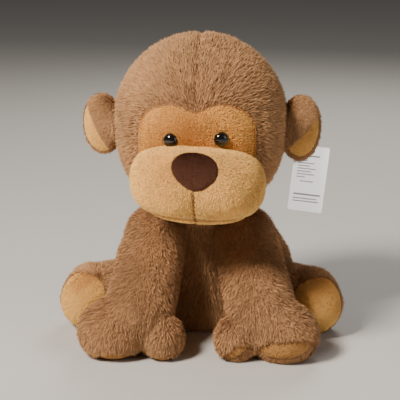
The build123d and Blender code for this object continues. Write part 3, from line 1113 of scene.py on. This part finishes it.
# ---------------------------------------------------------------- tail
# The tail is a soft tapering roll of brown plush that lies on the surface behind the seat.
tail_low, tail_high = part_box("tail_skin")
tail_radius = tail_high.z / 2
tail_root = pivot("tail_swing")
tail_tip = Vector((tail_low.x + tail_radius, tail_high.y - 0.020, tail_root.z))
tail_elbow = Vector((tail_root.x, tail_high.y + 0.004, tail_root.z))
shell = bmesh.new()
tail_lumps = 26
for i in range(tail_lumps + 1):
    share = i / tail_lumps
    first = tail_root.lerp(tail_elbow, share)
    point = first.lerp(tail_elbow.lerp(tail_tip, share), share)
    radius = tail_radius * (1 - 0.18 * share)
    point.z = tail_root.z - tail_radius * 0.18 * share
    add_ball(shell, point, (radius, radius, radius))
tail = sewn_skin("tail", shell, voxel=0.0025, easing=5)
reshape(tail, rest_on_floor)
brush(tail, lambda point: Vector((-1, 0.6, 0)), standing_pile)
tail.data.materials.append(brown_backing)
tail_tufts = 11000
tail_fur = grow(tail, "tail_pile", brown_pile, tail_tufts, long_pile * 0.85, tuft_width, seed=8)
finish_plush(tail, tail_fur, "tail", "brown_plush", "tail_skin", "tail_filling")

# ---------------------------------------------------------------- arms
# Each arm is a thick tube of brown plush from the shoulder down to a mitt and a thumb that
# rest on the surface. The pile is brushed toward the finger tips. Tan pads face the palms.
# the palm pads' pile is a darker copy of the soles' cream pile: painted shade, as the palms sit in shadow
palm_shaded_root = (0.40, 0.180, 0.050)
palm_shaded_body = (0.62, 0.310, 0.095)
palm_shaded_tip = (0.76, 0.43, 0.16)
palm_shaded_pile = pile_cloth("palm_shaded_pile", palm_shaded_root, palm_shaded_body, palm_shaded_tip, streak=0.4)
palm_height = 0.0016
palm_length = 0.0020
palm_tuft = 0.0008
palm_tufts = 9000
arm_tufts = 80000
wrist_out, wrist_forward, wrist_drop = 0.015, 0.060, 0.064
mitt_radii = (0.032, 0.030, 0.028)
thumb_radii = (0.0160, 0.019, 0.0225)
thumb_base = 0.021
thumb_end = 0.0175
for side, name, wrist_shift, thumb_shift in ((1, "left", 0.005, 0.006), (-1, "right", 0.003, 0.001)):
    arm_low, arm_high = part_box("arm_skin_" + name)
    palm_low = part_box("palm_patch_" + name)[0]
    outer = max(abs(arm_low.x), abs(arm_high.x))
    inner = min(abs(arm_low.x), abs(arm_high.x))
    front = min(arm_low.y, palm_low.y)
    joint = pivot("shoulder_" + name)
    arm_radius = arm_high.z - joint.z
    wrist = joint + Vector((side * wrist_out + wrist_shift, -wrist_forward, -wrist_drop))
    mitt = Vector((side * (outer - 0.031) + wrist_shift / 2, front + 0.029, 0.025))
    thumb = Vector((side * (inner + 0.0155) + thumb_shift, front + 0.024, 0.020))
    shell = bmesh.new()
    add_limb(shell, joint, wrist, arm_radius, arm_radius + 0.003)
    add_limb(shell, wrist, mitt, arm_radius, 0.029, lumps=6)
    add_ball(shell, mitt, mitt_radii)
    add_limb(shell, wrist + Vector((-side * 0.004, 0, -0.010)), thumb, thumb_base, thumb_end, lumps=8)
    add_ball(shell, thumb, thumb_radii)
    arm = sewn_skin("arm_" + name, shell, easing=5)
    reshape(arm, rest_on_floor)
    toward = Vector((side * 0.30, -0.25, -1.0))
    arm_tree = surface_of(arm)
    # each palm pad: its middle across and up, half width, half height and tilt in degrees
    pads = [
        (mitt.x + side * 0.001, 0.0185, 0.0258, 0.0098, side * 5.0),
        (thumb.x + side * 0.002, 0.0140, 0.0138, 0.0042, side * 34.0),
    ] if side > 0 else [
        (mitt.x + side * -0.004, 0.0070, 0.0150, 0.0045, 0.0),
        (thumb.x + side * 0.001, 0.0045, 0.0090, 0.0025, 0.0),
    ]
    palm_pads = []
    for k, (across, level, half_wide, half_high, lean) in enumerate(pads):
        tilt = math.radians(lean)

        def on_palm(u, v, across=across, level=level, tilt=tilt):
            """A point on the front of the hand, across and up from the middle of a pad."""
            start = Vector((
                across + u * math.cos(tilt) - v * math.sin(tilt),
                front - 0.05,
                max(level + u * math.sin(tilt) + v * math.cos(tilt), 0.0015),
            ))
            point, normal = arm_tree.ray_cast(start, Vector((0, 1, 0)))[:2]
            if point is None:
                point, normal = arm_tree.find_nearest(start + Vector((0, 0.07, 0)))[:2]
            return point, normal

        def palm_reach(angle, half_wide=half_wide, half_high=half_high):
            """The oval outline of a palm pad."""
            return 1 / math.hypot(math.cos(angle) / half_wide, math.sin(angle) / half_high)

        palm_pads.append(
            pad(f"palm_{name}_{k}", palm_reach, on_palm, soft_edge(palm_height), rings=10, steps=48)
        )
    joined = bmesh.new()
    for palm_pad in palm_pads:
        joined.from_mesh(palm_pad.data)
        bpy.data.objects.remove(palm_pad)
    palm = set_down("palm_" + name, joined)

    def bare_palm(point, normal):
        """Full pile on the arm, pressed underneath, none behind the palm pads."""
        for across, level, half_wide, half_high, lean in pads:
            tilt = math.radians(lean)
            u = (point.x - across) * math.cos(tilt) + (point.z - level) * math.sin(tilt)
            v = (point.z - level) * math.cos(tilt) - (point.x - across) * math.sin(tilt)
            if point.y < mitt.y and math.hypot(u / half_wide, v / half_high) < 0.97:
                return 0.0
            if point.y < mitt.y and math.hypot(u / (half_wide + 0.004), v / (half_high + 0.004)) < 1.0:
                return 0.5
        return standing_pile(point, normal)

    brush(arm, lambda point: toward, bare_palm)
    brush(
        palm,
        lambda point: Vector((side, 0, -0.2)),
        lambda point, normal: 1.0 if normal.y < 0.3 else 0.0,
    )
    palm.data.materials.append(cream_backing)
    palm_fur = grow(
        palm, f"palm_{name}_pile", palm_shaded_pile, palm_tufts, palm_length, palm_tuft, seed=31 + side
    )
    arm.data.materials.append(brown_backing)
    arm_fur = grow(arm, f"arm_{name}_pile", brown_pile, arm_tufts, long_pile, tuft_width, seed=6 + side)
    finish_plush(
        arm, arm_fur, "arm_" + name, "brown_plush", "arm_skin_" + name, "arm_filling_" + name
    )
    finish_plush(palm, palm_fur, "arm_" + name, "palm_plush", "palm_patch_" + name)

# ---------------------------------------------------------------- legs
# Each leg is a short thick tube of brown plush lying out to the side. The foot ends in a
# padded cream sole, gathered round its edge by the seam.
sole_pile = pile_cloth("sole_pile", muzzle_root, muzzle_body, muzzle_tip, streak=0.25)
foot_turn = math.radians(18)
sole_half = (0.0262, 0.0290)
sole_round = 2.2
sole_tufts = 26000
leg_tufts = 54000
hip_radius = 0.029
ankle_radius = 0.032
foot_out, foot_forward = 0.024, 0.042
foot_radii = (0.031, 0.026, 0.0345)
gathers = 14
gather_depth = 0.0009
for side, name in ((1, "left"), (-1, "right")):
    joint = pivot("hip_" + name)
    foot = joint + Vector((side * foot_out, -foot_forward, 0))
    shell = bmesh.new()
    hip, ankle = joint + Vector((0, 0, -0.005)), foot + Vector((0, 0, -0.002))
    add_limb(shell, hip, ankle, hip_radius, ankle_radius)
    add_ball(shell, foot + Vector((0, 0, -0.001)), foot_radii, side * foot_turn)
    leg = sewn_skin("leg_" + name, shell, easing=5)
    reshape(leg, rest_on_floor)
    toward = Vector((side * 0.35, 0.55, -0.75))
    facing = Vector((side * math.sin(foot_turn), -math.cos(foot_turn), 0))
    across = Vector((side * math.cos(foot_turn), math.sin(foot_turn), 0))
    sole_middle = foot + Vector((0, 0, 0.001)) + across * 0.001
    leg_tree = surface_of(leg)

    def on_sole(u, v):
        """A point on the front of the foot, outward and up from the middle of the sole."""
        start = sole_middle + across * u + Vector((0, 0, v)) + facing * 0.1
        point, normal = leg_tree.ray_cast(start, -facing)[:2]
        return point, (normal + facing * 2).normalized()

    def sole_reach(angle):
        """The oval outline of the sole, set in from the edge of the foot."""
        wide, high = abs(math.cos(angle)) / sole_half[0], abs(math.sin(angle)) / sole_half[1]
        return (wide**sole_round + high**sole_round) ** (-1 / sole_round)

    def sole_rise(share):
        """The sole's padding: domed in the middle, drawn in at the seam."""
        return 0.0075 * (1 - share**sole_round) ** 0.65 - 0.0006 * share

    sole = pad("sole_" + name, sole_reach, on_sole, sole_rise, rings=22, steps=112)
    for vertex in sole.data.vertices:
        off = vertex.co - sole_middle
        u, v = off.dot(across), off.z
        share = math.hypot(u, v) / sole_reach(math.atan2(v, u))
        gather = math.sin(gathers * math.atan2(v, u) + 2 * math.sin(3 * math.atan2(v, u)))
        vertex.co += facing * gather_depth * gather * share**2 * (1 - share**6)

    def bare_sole(point, normal):
        """Full pile on the foot, pressed underneath, none behind the sole."""
        off = point - sole_middle
        u, v = off.dot(across), off.z
        share = math.hypot(u, v) / sole_reach(math.atan2(v, u))
        if off.dot(facing) > 0 and share < 0.97:
            return 0.0
        if off.dot(facing) > 0 and share < 1.12:
            return 0.6
        return standing_pile(point, normal)

    brush(leg, lambda point: toward, bare_sole)
    brush(
        sole,
        lambda point: Vector((0, 0, -1)),
        lambda point, normal: 1.0 if normal.dot(facing) > -0.2 else 0.0,
    )
    sole.data.materials.append(cream_backing)
    sole_fur = grow(
        sole, f"sole_{name}_pile", sole_pile, sole_tufts, palm_length, palm_tuft, seed=34 + side
    )
    leg.data.materials.append(brown_backing)
    leg_fur = grow(leg, f"leg_{name}_pile", brown_pile, leg_tufts, long_pile, tuft_width, seed=9 + side)
    finish_plush(
        leg, leg_fur, "leg_" + name, "brown_plush", "leg_skin_" + name, "leg_filling_" + name
    )
    finish_plush(sole, sole_fur, "leg_" + name, "sole_plush", "sole_patch_" + name)

# ---------------------------------------------------------------- swing tag
# A card on a nylon loop through the ear, printed with plain grey lines. A small dark ring round
# its hole is painted shade, standing in for the dark seen through the hole.


def gloss_paint(node, name, base, rough, shading):
    """Give a carried-over part a moulded or printed finish with faint mottling."""
    paint = bpy.data.materials.new(name)
    paint.use_nodes = True
    tree = paint.node_tree
    shader = tree.nodes["Principled BSDF"]
    low = tuple(value * (1 - shading) for value in base)
    fine = plug(
        tree, "ShaderNodeGroup", {"node_tree": mottle},
        Deep=(*low, 1), Light=(*base, 1), Grain=260.0, Detail=4.0,
    )
    tree.links.new(out(fine), shader.inputs["Base Color"])
    dull = plug(
        tree, "ShaderNodeMapRange", Value=fine.outputs["Mask"],
        From_Min=0.2, From_Max=0.8, To_Min=rough - 0.08, To_Max=rough + 0.08,
    )
    tree.links.new(out(dull), shader.inputs["Roughness"])
    for material_slot in node.material_slots:
        material_slot.link = "OBJECT"
        material_slot.material = paint
    return paint


nodes = frame["nodes"]
gloss_paint(nodes["tag_card"], "tag_board", (0.96, 0.95, 0.93), 0.5, 0.03)
gloss_paint(nodes["tag_loop"], "loop_nylon", (0.55, 0.54, 0.52), 0.3, 0.1)
for name in ("eye_washer_left", "eye_washer_right"):
    gloss_paint(nodes[name], name + "_plastic", (0.70, 0.68, 0.64), 0.4, 0.08)
card_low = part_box("tag_card")[0]
tag_hole = pivot("tag_swing")
tag_lean = math.radians(6)
card_down = Vector((-math.sin(tag_lean), 0, -math.cos(tag_lean)))
card_right = Vector((math.cos(tag_lean), 0, -math.sin(tag_lean)))
card_face = card_low.y
# each printed line: distance below the hole, start and length across the card, height
print_lines = [
    (0.0065, -0.003, 0.012, 0.0016),
    (0.0110, -0.013, 0.010, 0.0011),
    (0.0140, -0.013, 0.017, 0.0011),
    (0.0170, -0.013, 0.013, 0.0011),
    (0.0200, -0.013, 0.019, 0.0011),
    (0.0230, -0.013, 0.015, 0.0011),
    (0.0260, -0.013, 0.018, 0.0011),
    (0.0290, -0.013, 0.009, 0.0011),
    (0.0335, -0.009, 0.014, 0.0011),
    (0.0480, -0.014, 0.028, 0.0019),
    (0.0520, -0.014, 0.025, 0.0012),
    (0.0550, -0.014, 0.027, 0.0012),
]
shell = bmesh.new()
for below, start, length, height in print_lines:
    corners = []
    for deep in (0.00002, -0.00008):
        for along, up in ((0, 0), (length, 0), (length, 1), (0, 1)):
            point = tag_hole + card_down * (below - up * height) + card_right * (start + along)
            corners.append(shell.verts.new((point.x, card_face + deep, point.z)))
    for ring in ((0, 1, 2, 3), (7, 6, 5, 4), (0, 4, 5, 1), (1, 5, 6, 2), (2, 6, 7, 3), (3, 7, 4, 0)):
        shell.faces.new([corners[k] for k in ring])
bmesh.ops.recalc_face_normals(shell, faces=shell.faces)
tag_print = set_down("tag_print", shell, smooth=False)
grey_ink = backing_cloth(
    "grey_ink", (0.22, 0.22, 0.23), (0.30, 0.30, 0.31), grain=1500.0, height=0.00002
)
tag_print.data.materials.append(grey_ink)
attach(tag_print, "tag")

shell = bmesh.new()
hole_shade_corners = 32
# the dark ring's section: how far from the middle of the hole, and how far behind the card's face
hole_shade_section = [
    (0.0030, -0.0004), (0.0028, -0.0009), (0.0018, -0.0009), (0.0013, -0.0004),
    (0.0013, 0.0008), (0.0018, 0.0013), (0.0028, 0.0013), (0.0030, 0.0008),
]
rings = []
for k in range(hole_shade_corners):
    turn = 2 * math.pi * k / hole_shade_corners
    wide_x, wide_z = math.cos(turn), math.sin(turn)
    rings.append([
        shell.verts.new((tag_hole.x + wide * wide_x, card_face + deep, tag_hole.z + wide * wide_z))
        for wide, deep in hole_shade_section
    ])
for k in range(hole_shade_corners):
    bridge(shell, rings[k], rings[(k + 1) % hole_shade_corners])
bmesh.ops.recalc_face_normals(shell, faces=shell.faces)
hole_shade_ring = set_down("tag_eyelet", shell)
# the ring's near-black colour is painted shade for the hole
hole_shade_paint = backing_cloth(
    "hole_shade_paint", (0.02, 0.02, 0.02), (0.04, 0.04, 0.04), grain=900.0, height=0.00002
)
hole_shade_ring.data.materials.append(hole_shade_paint)
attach(hole_shade_ring, "tag")

bpy.data.objects.remove(tuft)

# ---------------------------------------------------------------- floor, light and camera
# A plain pale floor, a soft key from the upper left, a weak fill from the right and a soft
# light from behind. A small lamp lights the swing tag alone, which hangs in the head's shadow.
floor_mesh = bpy.data.meshes.new("floor")
floor_colour = (0.72, 0.70, 0.67, 1)
reach = 6.0
floor_mesh.from_pydata(
    [(-reach, -reach, 0), (reach, -reach, 0), (reach, reach, 0), (-reach, reach, 0)], [], [(0, 1, 2, 3)]
)
floor = bpy.data.objects.new("floor", floor_mesh)
bpy.context.collection.objects.link(floor)
floor_paint = bpy.data.materials.new("floor_paint")
floor_paint.use_nodes = True
floor_shader = floor_paint.node_tree.nodes["Principled BSDF"]
floor_shader.inputs["Base Color"].default_value = floor_colour
floor_shader.inputs["Roughness"].default_value = 0.6
floor_mesh.materials.append(floor_paint)


def soft_light(name, place, target, size, power, colour):
    """One large square lamp that faces a target."""
    lamp = bpy.data.lights.new(name, "AREA")
    lamp.size = size
    lamp.energy = power
    lamp.color = colour
    holder = bpy.data.objects.new(name, lamp)
    holder.location = place
    holder.rotation_euler = (Vector(target) - Vector(place)).to_track_quat("-Z", "Y").to_euler()
    bpy.context.collection.objects.link(holder)


chest, shoulders = (0, 0, 0.15), (0, 0, 0.2)
soft_light("key", (-0.92, -1.00, 1.42), chest, size=0.42, power=50, colour=(1.0, 0.92, 0.82))
soft_light("fill", (1.4, -0.6, 0.7), chest, size=1.0, power=4, colour=(1.0, 0.96, 0.92))
soft_light("back", (0.3, 1.4, 1.3), shoulders, size=0.8, power=12, colour=(1.0, 0.95, 0.88))
soft_light("tag light", (0.45, -0.90, 0.55), card_low, size=0.3, power=11, colour=(1.0, 0.98, 0.96))
only_card = bpy.data.collections.new("lit by the tag light")
for piece in (nodes["tag_card"], tag_print, hole_shade_ring):
    only_card.objects.link(piece)
bpy.data.objects["tag light"].light_linking.receiver_collection = only_card
world = bpy.data.worlds.new("studio")
world.use_nodes = True
world.node_tree.nodes["Background"].inputs["Color"].default_value = (0.80, 0.79, 0.78, 1)
world.node_tree.nodes["Background"].inputs["Strength"].default_value = 0.08
bpy.context.scene.world = world

lens = bpy.data.cameras.new("camera")
camera = bpy.data.objects.new("camera", lens)
lens_length = 110.5
camera_turn = math.radians(3.5)
camera_rise = math.radians(14)
camera_distance = 1.3
aim = Vector((-0.002, 0, 0.137))
back = Vector((
    math.sin(camera_turn) * math.cos(camera_rise),
    -math.cos(camera_turn) * math.cos(camera_rise),
    math.sin(camera_rise),
))
camera.location = aim + back * camera_distance
camera.rotation_euler = (-back).to_track_quat("-Z", "Y").to_euler()
lens.lens = lens_length
bpy.context.collection.objects.link(camera)
bpy.context.scene.camera = camera
